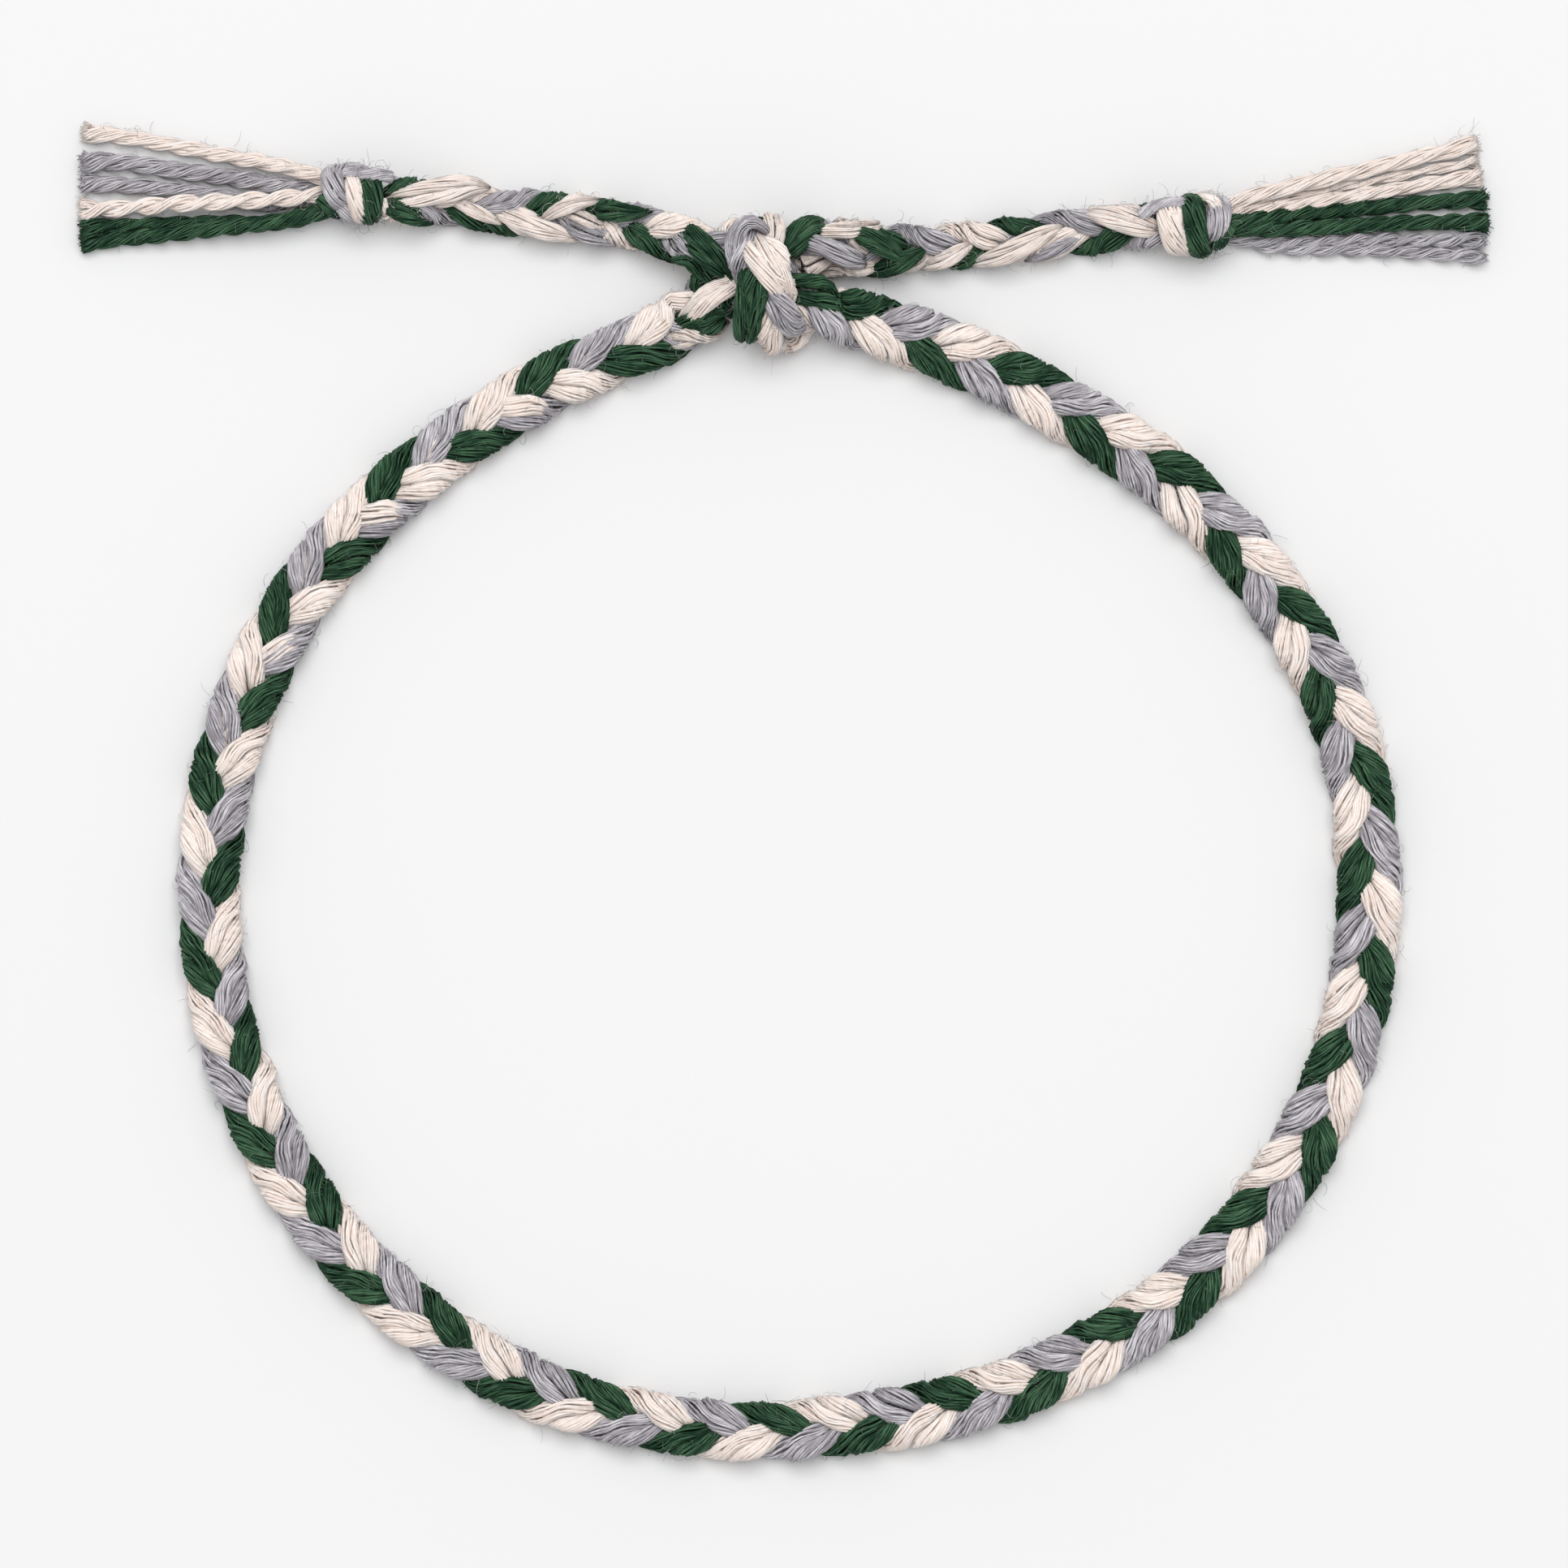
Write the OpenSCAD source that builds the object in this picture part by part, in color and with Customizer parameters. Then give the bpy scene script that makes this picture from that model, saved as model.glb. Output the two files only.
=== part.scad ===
// Three-strand braided cotton bracelet, half-knotted to a loop, with a knot and a fringe at each end.
// Millimetres, +Z up, lying on z = 0, with the middle of its outline at x = 0, y = 0.

/* [Braid] */
// Width of the braid round the wrist
braid_w = 3.6; // [3.4:0.1:3.6]
// Thickness of the braid where two strands cross
braid_t = 2.1; // [2.1:0.05:2.2]
// Width of one strand in the braid
strand_w = 2.1; // [1.6:0.05:2.2]
// Thickness of one strand in the braid
strand_t = 1.2; // [1.1:0.05:1.2]
// Clear gap between neighbouring strands
strand_gap = 0.08; // [0.07:0.01:0.12]

/* [End knots] */
// Thickness of one turn of an end knot
turn_d = 1.15; // [1.05:0.05:1.15]
// Radius of the middle turn of an end knot
turn_r = 1.7; // [1.6:0.05:1.75]

/* [Fringes] */
// Thickness of one cut thread
thread_d = 1.0; // [0.85:0.05:1.0]

/* [Mesh] */
// Sides of a strand
strand_sides = 6; // [6:1:7]
// Sides of a cut thread
thread_sides = 8; // [6:1:8]

/* [Hidden] */

// Rings of a strand in each three lobes of its edge
rings_per_turn = 11;

ecru = [0.90, 0.86, 0.80];
grey = [0.62, 0.61, 0.65];
green = [0.10, 0.33, 0.20];

// Which lobe of the braid each colour makes, counting along one edge
green_turn = 0;
grey_turn = 1;
ecru_turn = 2;

loop_c = [0.2, -4.8];
loop_z = braid_t / 2;

// From the left end knot along the left tail, over, under and over in the centre knot, to the loop
// lobe, x, y, z, face x, face y, face z, width
tail_in = [
  [-10.4, -21.6, 32.6, 1.7, 0, 0, 1, 0.75],
  [-10, -20.8, 32.5, 1.6, 0, 0, 1, 0.80],
  [-9, -18.6, 32.4, 1.1, 0, 0, 1, 0.80],
  [-8, -15.4, 32.0, 0.9, 0, 0, 1, 0.80],
  [-7, -13.0, 31.7, 0.9, 0, 0, 1, 0.80],
  [-6, -11.6, 31.4, 0.9, 0, 0, 1, 0.80],
  [-5, -10.2, 31.2, 0.9, 0, 0, 1, 0.80],
  [-4, -8.7, 31.0, 1.2, 0, 0, 1, 0.80],
  [-3, -6.4, 30.4, 2.1, 0, 0, 1, 0.80],
  [-2, -3.8, 29.3, 2.7, 0, 0, 1, 0.85],
  [-1.5, -1.2, 28.0, 2.6, 0, 0, 1, 0.85],
  [-1, 1.3, 26.9, 2.6, 0, 0, 1, 0.85],
  [0, 3.6, 26.1, 2.0, 0, 0, 1, 0.95],
  [1, 6.6, 25.1, 1.2, 0, 0, 1, 1.00],
];

// Clockwise round the loop, about its centre
// lobe, bearing, radius
loop_rows = [
  [3, 64.5, 29.8], [6, 45.3, 30.2], [9, 27.3, 31.0], [12, 9.4, 31.7], [15, -9.3, 31.9],
  [18, -27.5, 31.9], [21, -45.6, 31.5], [24, -63.8, 30.7], [27, -81.8, 30.2], [30, -100.7, 30.7],
  [33, -118.7, 31.2], [36, -137.1, 31.5], [39, -154.6, 31.7], [42, -172.1, 31.7], [45, -190.7, 31.3],
  [48, -209.1, 30.7], [51, -227.0, 30.0], [54, -245.6, 30.1], [55.5, -254.0, 30.4],
];

// From the loop under the left tail, up and over it in one wrap, under it again, along the right tail
// lobe, x, y, z, face x, face y, face z, width
tail_out = [
  [56.1, -6.4, 25.3, 1.1, 0, 0, 1, 1.00],
  [56.6, -5.5, 25.9, 1.3, 0.3, -0.5, 0.7, 0.95],
  [57.1, -4.6, 26.7, 1.5, 0.5, -0.8, -0.1, 0.90],
  [57.6, -3.9, 27.6, 1.2, 0.1, -0.5, -0.7, 0.85],
  [58.1, -3.4, 28.4, 0.9, 0, 0, -1, 0.85],
  [58.9, -2.7, 29.5, 0.9, 0, 0.2, -1, 0.85],
  [59.6, -2.0, 30.3, 1.6, 0, 0.8, -0.6, 0.90],
  [60.2, -1.7, 30.5, 2.9, 0, 1, 0.1, 0.90],
  [60.8, -1.4, 29.4, 4.1, 0, 0.5, 0.8, 0.90],
  [61.4, -1.1, 27.9, 4.3, 0, 0, 1, 0.90],
  [62, -0.7, 26.4, 3.8, 0, -0.5, 0.8, 0.90],
  [62.4, -0.4, 25.5, 2.8, 0, -1, 0.1, 0.90],
  [62.8, -0.1, 25.4, 1.7, 0, -0.9, -0.4, 0.85],
  [63.6, 0.4, 26.3, 0.9, 0, -0.2, -1, 0.80],
  [64.6, 0.7, 27.8, 0.8, 0, 0, -1, 0.80],
  [65.4, 0.8, 29.0, 0.9, 0, 0, -1, 0.80],
  [66.2, 1.4, 29.9, 1.0, 0, 0, -1, 0.80],
  [67.1, 2.6, 30.2, 1.1, 0, 0, -1, 0.80],
  [68.2, 4.1, 29.9, 1.0, 0, 0, -1, 0.80],
  [69.2, 5.6, 29.7, 0.9, 0, 0, -1, 0.80],
  [70.2, 8.0, 29.7, 0.9, 0, 0, -1, 0.80],
  [71.2, 10.4, 30.0, 0.9, 0, 0, -1, 0.80],
  [72.2, 12.7, 30.3, 0.9, 0, 0, -1, 0.80],
  [73.2, 15.7, 30.7, 0.9, 0, 0, -1, 0.80],
  [74.2, 18.4, 31.0, 1.2, 0, 0, -1, 0.80],
  [75, 20.4, 31.1, 1.6, 0, 0, -1, 0.75],
];

// Lobes at which two strands change places in the centre knot
// lobe, strand, strand, half turn
swaps = [[-0.5, 0, 2, 180], [58.83, 1, 2, 180], [62.75, 0, 2, -180]];
swap_len = 0.9;

// Middle of each end knot and the way that its turns face: x, y, angle
left_knot = [-23.55, 32.85, -8];
right_knot = [22.4, 31.15, 3];
knot_gap = 0.08;

// Threads of each fringe, from the knot to the cut end: x, y, z
left_ecru_threads = [
  [[-26.05, 33.7, 2.2], [-27.6, 34.4, 0.8], [-30.3, 34.9, 0.5], [-34.0, 35.6, 0.5], [-38.4, 36.2, 0.5]],
  [[-26.05, 33.7, 2.2], [-27.6, 32.6, 1.8], [-30.3, 32.4, 1.65], [-33.2, 32.3, 1.6], [-35.6, 32.1, 0.6],
    [-38.7, 32.0, 0.5]]
];
left_grey_threads = [
  [[-26.05, 32.9, 1.0], [-27.6, 33.3, 0.55], [-30.3, 33.75, 0.5], [-33.6, 34.3, 0.5], [-36.3, 34.6, 0.5],
    [-38.6, 34.6, 0.5]],
  [[-26.05, 32.9, 1.0], [-27.6, 32.25, 0.5], [-30.3, 32.6, 0.5], [-33.4, 33.15, 0.5], [-36.3, 33.3, 0.5],
    [-38.6, 33.4, 0.5]]
];
left_green_threads = [
  [[-26.05, 31.8, 1.7], [-27.6, 31.15, 0.6], [-30.3, 31.4, 0.5], [-34.0, 31.2, 0.5], [-38.6, 30.9, 0.5]],
  [[-26.05, 31.8, 1.7], [-27.6, 31.4, 1.6], [-30.3, 31.0, 1.4], [-33.6, 30.5, 0.8], [-36.3, 30.1, 0.5],
    [-38.6, 29.8, 0.5]]
];
right_ecru_threads = [
  [[24.85, 32.2, 1.7], [26.4, 32.9, 0.8], [28.2, 33.4, 0.5], [32.6, 34.3, 0.5], [38.1, 35.5, 0.5]],
  [[24.85, 32.2, 1.7], [26.4, 32.5, 0.8], [28.2, 32.8, 0.5], [32.6, 33.4, 0.5], [38.2, 34.1, 0.5]]
];
right_grey_threads = [
  [[24.85, 30.4, 1.0], [26.4, 30.2, 0.6], [28.2, 30.15, 0.5], [32.6, 30.3, 0.5], [38.4, 30.2, 0.5]],
  [[24.85, 30.4, 1.0], [26.4, 29.9, 0.6], [28.2, 29.7, 0.5], [32.6, 29.6, 0.5], [38.4, 29.1, 0.5]]
];
right_green_threads = [
  [[24.85, 31.0, 2.3], [26.4, 31.4, 1.4], [28.2, 31.7, 0.5], [32.6, 32.2, 0.5], [38.5, 32.6, 0.5]],
  [[24.85, 31.0, 2.3], [26.4, 31.0, 1.8], [28.2, 30.95, 1.3], [32.6, 31.2, 1.1], [38.7, 31.4, 0.5]]
];

route = concat(
  tail_in,
  [for (r = loop_rows) [
    r[0], loop_c.x + r[2] * cos(r[1]), loop_c.y + r[2] * sin(r[1]), loop_z, 0, 0, 1, 1
  ]],
  tail_out
);
first_lobe = route[0][0];
last_lobe = route[len(route) - 1][0];
ring_step = 3 / rings_per_turn;
ring_count = round((last_lobe - first_lobe) / ring_step);

// Flat walls between the passes of the centre knot: lobes, a point, and the way that they hold back
// from lobe, to lobe, x, y, z, way x, way y, way z
walls = [
  [first_lobe, last_lobe, 0, 0, 0, 0, 0, -1],
  [57.3, 59.3, 0, 0, 1.72, 0, 0, 1],
  [63.2, 66.0, 0, 0, 1.72, 0, 0, 1],
  [-2.8, -0.4, 0, 0, 1.80, 0, 0, -1],
  [-1.95, -0.8, 0, 0, 3.42, 0, 0, 1],
  [60.7, 61.9, 0, 0, 3.50, 0, 0, -1],
  [-2.5, -1.2, -2.0, 29.70, 0, 0.3, 1, 0],
  [59.3, 60.8, -2.0, 29.78, 0, -0.3, -1, 0],
  [-1.4, -0.3, 0.5, 26.24, 0, -0.7, -1, 0],
  [62.0, 63.2, 0.5, 26.16, 0, 0.7, 1, 0],
  [58.5, 60.5, -0.44, 0, 0, 1, 0, 0],
  [63.8, 67.0, -0.36, 0, 0, -1, 0, 0],
];

side_reach = (braid_w - strand_t) / 2;
stack_reach = (braid_t - strand_t) / 2 / sin(60);
slant_stretch = 1.15;
edge_fold = 0.8;
flatness = 3;
lobe_phase = 45;

function unit(v) = v / norm(v);
function part_of(r, from, to) = [for (i = [from : to]) r[i]];

// Smooth row of a table at a value of its first column
function slope(rows, i) = let(a = rows[max(i - 1, 0)], b = rows[min(i + 1, len(rows) - 1)])
  (b - a) / (b[0] - a[0]);
function row_at(rows, n) = let(
    i = min(max(len([for (r = rows) if (r[0] <= n) 1]) - 1, 0), len(rows) - 2),
    a = rows[i], b = rows[i + 1], h = b[0] - a[0], t = (n - a[0]) / h
  )
  a * (1 + 2 * t) * (1 - t) * (1 - t) + b * t * t * (3 - 2 * t)
  + slope(rows, i) * h * t * (1 - t) * (1 - t) - slope(rows, i + 1) * h * t * t * (1 - t);

function centre(rows, n) = part_of(row_at(rows, n), 1, 3);
function heading(rows, n) = unit(centre(rows, n + 0.02) - centre(rows, n - 0.02));

// Centre, side and face direction and width of the braid at a lobe number
function frame_at(n) = let(
    row = row_at(route, n),
    along = heading(route, n),
    face0 = part_of(row, 4, 6),
    face = unit(face0 - along * (face0 * along))
  )
  [part_of(row, 1, 3), cross(face, along), face, row[7], n];

frames = [for (i = [0 : ring_count]) frame_at(first_lobe + (last_lobe - first_lobe) * i / ring_count)];

function ease(t) = let(u = min(max(t, 0), 1)) u * u * (3 - 2 * u);

// Place of a strand in the braid's section: side, face
function slot(n, turn, w) = let(a = 120 * (n - turn) + lobe_phase)
  [side_reach * w * sin(a), stack_reach * min(1, w + 0.05) * sin(2 * a)];
function turned(v, a) = [v.x * cos(a) - v.y * sin(a), v.x * sin(a) + v.y * cos(a)];

// Places after the swaps from number i on, each a half turn of two strands about each other
function swapped(p, n, i) = i == len(swaps) ? p : let(
    s = swaps[i], a = s[3] * ease((n - s[0]) / swap_len + 0.5),
    mid = (p[s[1]] + p[s[2]]) / 2
  )
  swapped([for (k = [0 : 2]) k == s[1] || k == s[2] ? mid + turned(p[k] - mid, a) : p[k]], n, i + 1);
function places(n, w) = let(q = [for (k = [0 : 2]) slot(n, k, w)])
  swapped([q[2], q[1], q[0]], n, 0);

// Reach from a point of the section to the braid's oval outline
function outline_reach(at, dir, w) = let(
    half = [braid_w * w / 2, braid_t * (w + 0.1) / 2], p = [at.x / half.x, at.y / half.y],
    d = [dir.x / half.x, dir.y / half.y], k = p * d, dd = d * d
  )
  (sqrt(max(0, k * k + dd * (1 - p * p))) - k) / dd;

// Wall of the section that keeps a strand from its neighbour at a lobe number: direction, distance
function strand_walls(n, turn) = let(
    p = places(n, row_at(route, n)[7]),
    gap = strand_gap * (n > 56 && n < 58.5 ? 5 : n < 0 || n > 55 ? 3.5 : 1)
  )
  [for (i = [0 : 2]) if (i != turn) let(q = p[i] - p[turn], m = unit([q.x, q.y * flatness]))
    [m, (p[turn] + q / 2) * m - gap / 2]];

// The knot's walls as walls of the section
function knot_walls(f) = [for (v = walls) if (v[0] <= f[4] && f[4] <= v[1])
  let(m = part_of(v, 5, 7)) [[f[1] * m, f[2] * m], (part_of(v, 2, 4) - f[0]) * m]];

// A point moved until it has some room before each wall
function held(at, limits, i) = i == len(limits) ? at : let(
    m = limits[i][0], room = limits[i][1] - at * m
  )
  held(room < 0.25 ? at - m * (0.25 - room) / max(m * m, 0.1) : at, limits, i + 1);

// Reach of a strand from its centre in one direction
function reach(at, dir, limits, w) = let(
    lie = pow(min(1, abs(at.x) / side_reach / w), 2),
    half_w = w * strand_w * (slant_stretch * (1 - lie) + edge_fold * lie) / 2,
    half_t = w * (strand_t * (1 - lie) + strand_w * edge_fold * lie) / 2,
    own = 1 / norm([dir.x / half_w, dir.y / half_t])
  )
  max(0.02, min([own, outline_reach(at, dir, w), for (c = limits)
    let(lean = dir * c[0]) lean > 0.01 ? (c[1] - at * c[0]) / lean : own]));

function ring(f, turn) = let(
    w = min(1, f[3] + 0.05),
    limits = concat(knot_walls(f), strand_walls(f[4] - ring_step / 2, turn), strand_walls(f[4] + ring_step / 2, turn)),
    at = held(held(places(f[4], f[3])[turn], limits, 0), limits, 0)
  )
  [for (j = [0 : strand_sides - 1]) let(a = 360 * j / strand_sides, d = [cos(a), sin(a)],
    q = at + d * reach(at, d, limits, w)) f[0] + f[1] * q.x + f[2] * q.y];

// Closed tube through rings of equal size
module tube(rings) {
  m = len(rings[0]);
  last = (len(rings) - 1) * m;
  polyhedron(
    points = [for (r = rings) each r],
    faces = concat(
      [for (i = [0 : len(rings) - 2], j = [0 : m - 1]) [i * m + j, (i + 1) * m + j, (i + 1) * m + (j + 1) % m]],
      [for (i = [0 : len(rings) - 2], j = [0 : m - 1]) [i * m + j, (i + 1) * m + (j + 1) % m, i * m + (j + 1) % m]],
      [for (j = [1 : m - 2]) [0, j, j + 1]],
      [for (j = [1 : m - 2]) [last, last + j + 1, last + j]]
    )
  );
}

module strand(turn) tube([for (f = frames) ring(f, turn)]);

// One turn of an end knot: a thick ring that the others close on both sides
module turn(knot, place, r) {
  half = turn_d / 2;
  translate([knot.x, knot.y, r])
    rotate([0, 90, knot[2]])
      translate([0, 0, place * (turn_d + knot_gap)])
        rotate_extrude($fn = 18)
          polygon([[0, -half * 0.8], [r * 0.6, -half], [r * 0.9, -half * 0.7], [r, 0],
            [r * 0.9, half * 0.7], [r * 0.6, half], [0, half * 0.8]]);
}

// One cut thread along its points
module thread(points) {
  rows = [for (i = [0 : len(points) - 1]) concat([i], points[i])];
  steps = 2 * (len(points) - 1);
  tube([for (i = [0 : steps]) let(
      n = i / 2, c = centre(rows, n), mid = [c.x, c.y, max(c.z, thread_d / 2)],
      along = heading(rows, n), side = unit(cross([0, 0, 1], along)), up = cross(along, side)
    )
    [for (j = [0 : thread_sides - 1]) let(a = 360 * (j + 0.5) / thread_sides)
      mid + (side * cos(a) + up * sin(a)) * thread_d / 2]]);
}

// Two threads of one colour, fused to a head at the knot
module lock(threads) {
  translate(threads[0][0]) sphere(d = thread_d * 1.12, $fn = 10);
  for (points = threads) thread(points);
}

// Brings the middle of the outline to the origin
module placed() translate([-0.015, 0.13, 0]) children();

module green_strand() color(green) placed() strand(green_turn);
module grey_strand() color(grey) placed() strand(grey_turn);
module ecru_strand() color(ecru) placed() strand(ecru_turn);
module left_knot_grey_turn() color(grey) placed() turn(left_knot, -1, turn_r * 0.94);
module left_knot_ecru_turn() color(ecru) placed() turn(left_knot, 0, turn_r);
module left_knot_green_turn() color(green) placed() turn(left_knot, 1, turn_r * 0.97);
module right_knot_ecru_turn() color(ecru) placed() turn(right_knot, -1, turn_r * 0.92);
module right_knot_green_turn() color(green) placed() turn(right_knot, 0, turn_r);
module right_knot_grey_turn() color(grey) placed() turn(right_knot, 1, turn_r * 0.95);
module left_fringe_ecru() color(ecru) placed() lock(left_ecru_threads);
module left_fringe_grey() color(grey) placed() lock(left_grey_threads);
module left_fringe_green() color(green) placed() lock(left_green_threads);
module right_fringe_ecru() color(ecru) placed() lock(right_ecru_threads);
module right_fringe_grey() color(grey) placed() lock(right_grey_threads);
module right_fringe_green() color(green) placed() lock(right_green_threads);

green_strand();
grey_strand();
ecru_strand();
left_knot_grey_turn();
left_knot_ecru_turn();
left_knot_green_turn();
right_knot_ecru_turn();
right_knot_green_turn();
right_knot_grey_turn();
left_fringe_ecru();
left_fringe_grey();
left_fringe_green();
right_fringe_ecru();
right_fringe_grey();
right_fringe_green();
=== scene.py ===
import math

import bpy
import numpy as np
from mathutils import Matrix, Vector


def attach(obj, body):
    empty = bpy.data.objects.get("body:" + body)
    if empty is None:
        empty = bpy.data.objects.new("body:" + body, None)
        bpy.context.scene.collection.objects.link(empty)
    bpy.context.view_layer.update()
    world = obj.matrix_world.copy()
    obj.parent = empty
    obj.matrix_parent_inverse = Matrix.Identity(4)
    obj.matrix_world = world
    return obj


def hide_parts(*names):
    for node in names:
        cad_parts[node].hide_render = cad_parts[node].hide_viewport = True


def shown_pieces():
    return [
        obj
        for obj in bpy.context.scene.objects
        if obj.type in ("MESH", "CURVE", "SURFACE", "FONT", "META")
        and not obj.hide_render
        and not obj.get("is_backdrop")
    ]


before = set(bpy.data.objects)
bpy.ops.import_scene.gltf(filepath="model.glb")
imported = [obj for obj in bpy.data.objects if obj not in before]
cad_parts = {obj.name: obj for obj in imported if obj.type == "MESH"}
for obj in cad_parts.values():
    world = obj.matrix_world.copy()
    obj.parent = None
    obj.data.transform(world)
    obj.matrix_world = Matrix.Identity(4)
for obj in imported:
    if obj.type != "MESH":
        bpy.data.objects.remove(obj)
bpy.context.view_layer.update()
mm = 0.001
rng = np.random.default_rng(11)
anyAngle = (0, 6.28)  # radians
waveStretch = (0.8, 1.25)  # how far a wave's length may differ from the one that is given

# The braid's route, as in the frame: millimetres, counted in lobes along the outer edge
braid = {
    "thickness": 2.1,
    "sideReach": 1.035,  # how far a strand swings to each side
    "stackReach": 0.58,  # and how far up and down
    "lobeAngle": 120,
    "phase": 45.0,
    "turnOver": 0.75,  # a strand turns over within this share of its swing
    "slack": 0.05,  # keeps the height of a stretch that is pulled thin
    "loopCentre": (0.0, -4.6),
    "shift": (-0.015, 0.13, 0.0),
    "swapLength": 0.9,
    "step": 0.085,
    "tangentStep": 0.02,
}

# lobe, x, y, z, face x, face y, face z, width
tailIn = [
    (-10.4, -21.6, 32.6, 1.7, 0, 0, 1, 0.72),
    (-10, -20.8, 32.5, 1.6, 0, 0, 1, 0.72),
    (-9, -18.6, 32.3, 1.1, 0, 0, 1, 0.72),
    (-8, -15.4, 31.8, 0.9, 0, 0, 1, 0.72),
    (-7, -13.0, 31.75, 0.9, 0, 0, 1, 0.72),
    (-6, -11.6, 31.6, 0.9, 0, 0, 1, 0.72),
    (-5, -10.2, 31.4, 0.9, 0, 0, 1, 0.72),
    (-4, -8.7, 31.1, 1.2, 0, 0, 1, 0.72),
    (-3, -6.4, 30.5, 2.1, 0, 0, 1, 0.74),
    (-2, -3.8, 29.3, 2.7, 0, 0, 1, 0.88),
    (-1.5, -1.2, 28.0, 2.6, 0, 0, 1, 0.88),
    (-1, 1.3, 26.9, 2.6, 0, 0, 1, 0.88),
    (0, 3.6, 26.1, 2.0, 0, 0, 1, 0.95),
    (1, 6.6, 25.1, 1.2, 0, 0, 1, 1.00),
]

# lobe, bearing, radius, width
loopRows = [
    (3, 65.2, 29.95, 1.01),
    (6, 45.9, 30.3, 1.03),
    (9, 27.7, 31.15, 1.0),
    (12, 10.1, 31.88, 1.01),
    (15, -8.7, 32.08, 1.04),
    (18, -26.8, 32.0, 1.05),
    (21, -44.7, 31.5, 1.05),
    (24, -63.1, 30.7, 1.03),
    (27, -81.1, 30.15, 0.95),
    (30, -99.5, 30.46, 0.92),
    (33, -117.5, 31.1, 0.96),
    (36, -135.9, 31.44, 1.0),
    (39, -153.3, 31.6, 0.98),
    (42, -171.0, 31.55, 0.98),
    (45, -189.2, 31.26, 1.0),
    (48, -207.3, 30.67, 1.01),
    (51, -224.9, 30.03, 1.0),
    (54, -244.0, 29.9, 0.96),
    (55.5, -253.2, 30.1, 0.94),
]

# lobe, x, y, z, face x, face y, face z, width
tailOut = [
    (56.1, -6.4, 25.3, 1.1, 0, 0, 1, 1.00),
    (56.6, -5.5, 25.9, 1.3, 0.3, -0.5, 0.7, 0.93),
    (57.1, -4.6, 26.7, 1.5, 0.5, -0.8, -0.1, 0.93),
    (57.6, -3.9, 27.6, 1.2, 0.1, -0.5, -0.7, 0.88),
    (58.1, -3.4, 28.4, 0.9, 0, 0, -1, 0.88),
    (58.9, -2.7, 29.5, 0.9, 0, 0.2, -1, 0.88),
    (59.6, -2.0, 30.3, 1.6, 0, 0.8, -0.6, 0.93),
    (60.2, -1.7, 30.5, 2.9, 0, 1, 0.1, 0.93),
    (60.8, -1.4, 29.4, 4.1, 0, 0.5, 0.8, 0.93),
    (61.4, -1.1, 27.9, 4.3, 0, 0, 1, 0.93),
    (62, -0.7, 26.4, 3.8, 0, -0.5, 0.8, 0.93),
    (62.4, -0.4, 25.5, 2.8, 0, -1, 0.1, 0.93),
    (62.8, -0.1, 25.4, 1.7, 0, -0.9, -0.4, 0.88),
    (63.6, 0.4, 26.3, 0.9, 0, -0.2, -1, 0.80),
    (64.6, 0.7, 27.8, 0.8, 0, 0, -1, 0.76),
    (65.4, 0.8, 29.0, 0.9, 0, 0.4, -0.9, 0.72),
    (66.2, 1.4, 29.9, 1.0, 0, 0.5, -0.85, 0.72),
    (67.1, 2.6, 30.2, 1.1, 0, 0.5, -0.85, 0.72),
    (68.2, 4.1, 30.0, 1.0, 0, 0.5, -0.85, 0.72),
    (69.2, 5.6, 29.9, 0.9, 0, 0.5, -0.85, 0.72),
    (70.2, 8.2, 29.9, 0.9, 0, 0.5, -0.85, 0.72),
    (71.2, 11.0, 30.1, 0.9, 0, 0.4, -0.9, 0.72),
    (72.2, 13.2, 30.4, 0.9, 0, 0.2, -1, 0.72),
    (73.2, 16.5, 30.7, 0.9, 0, 0, -1, 0.72),
    (74.2, 19.1, 31.0, 1.2, 0, 0, -1, 0.72),
    (75, 20.7, 31.1, 1.6, 0, 0, -1, 0.72),
]

# Where two strands change places: lobe, strand, strand, degrees of the half turn
swaps = [
    (-5.7, 0, 1, 180),
    (-2.4, 0, 1, -180),
    (-0.5, 0, 2, 180),
    (58.83, 1, 2, 180),
    (62.75, 0, 2, -180),
]

# A third, ecru thread that lies on the grey strand where that crosses the inner side of the loop's last part.
# The pairs of shares are where the thread is hidden, and what is added where it shows
spare = {
    "halfWidth": 0.62,
    "halfDepth": 0.42,
    "yarns": 14,
    "lobes": (45.0, 55.6),
    "growing": 5.0,
    "grownShares": (0.4, 0.6),
    "widthShares": (0.55, 0.45),
    "depthShares": (0.7, 0.3),
    "aside": 0.42,
    "rise": 0.36,
    "showsAt": 3.6,  # radians of the grey strand's swing
    "contrast": 2.2,
    "threshold": 0.9,
}


def unit(v):
    return v / np.linalg.norm(v, axis=-1, keepdims=True)


# Smooth value of every column of a table at values of its first column
def smoothRows(rows, at):
    rows = np.array(rows, float)
    key = rows[:, 0]
    last = len(rows) - 1
    before = np.maximum(np.arange(len(rows)) - 1, 0)
    after = np.minimum(np.arange(len(rows)) + 1, last)
    slopes = (rows[after] - rows[before]) / (key[after] - key[before])[:, None]
    i = np.clip(np.searchsorted(key, at, side="right") - 1, 0, last - 1)
    h = (key[i + 1] - key[i])[:, None]
    t = ((at - key[i])[:, None]) / h
    return (
        rows[i] * (1 + 2 * t) * (1 - t) ** 2
        + rows[i + 1] * t * t * (3 - 2 * t)
        + slopes[i] * h * t * (1 - t) ** 2
        - slopes[i + 1] * h * t * t * (1 - t)
    )


# Smooth line through a few points
def curve(points, steps):
    rows = [(i,) + tuple(p) for i, p in enumerate(points)]
    return smoothRows(rows, np.linspace(0, len(points) - 1, steps))[:, 1:]


def ease(t):
    u = np.clip(t, 0, 1)
    return u * u * (3 - 2 * u)


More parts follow.
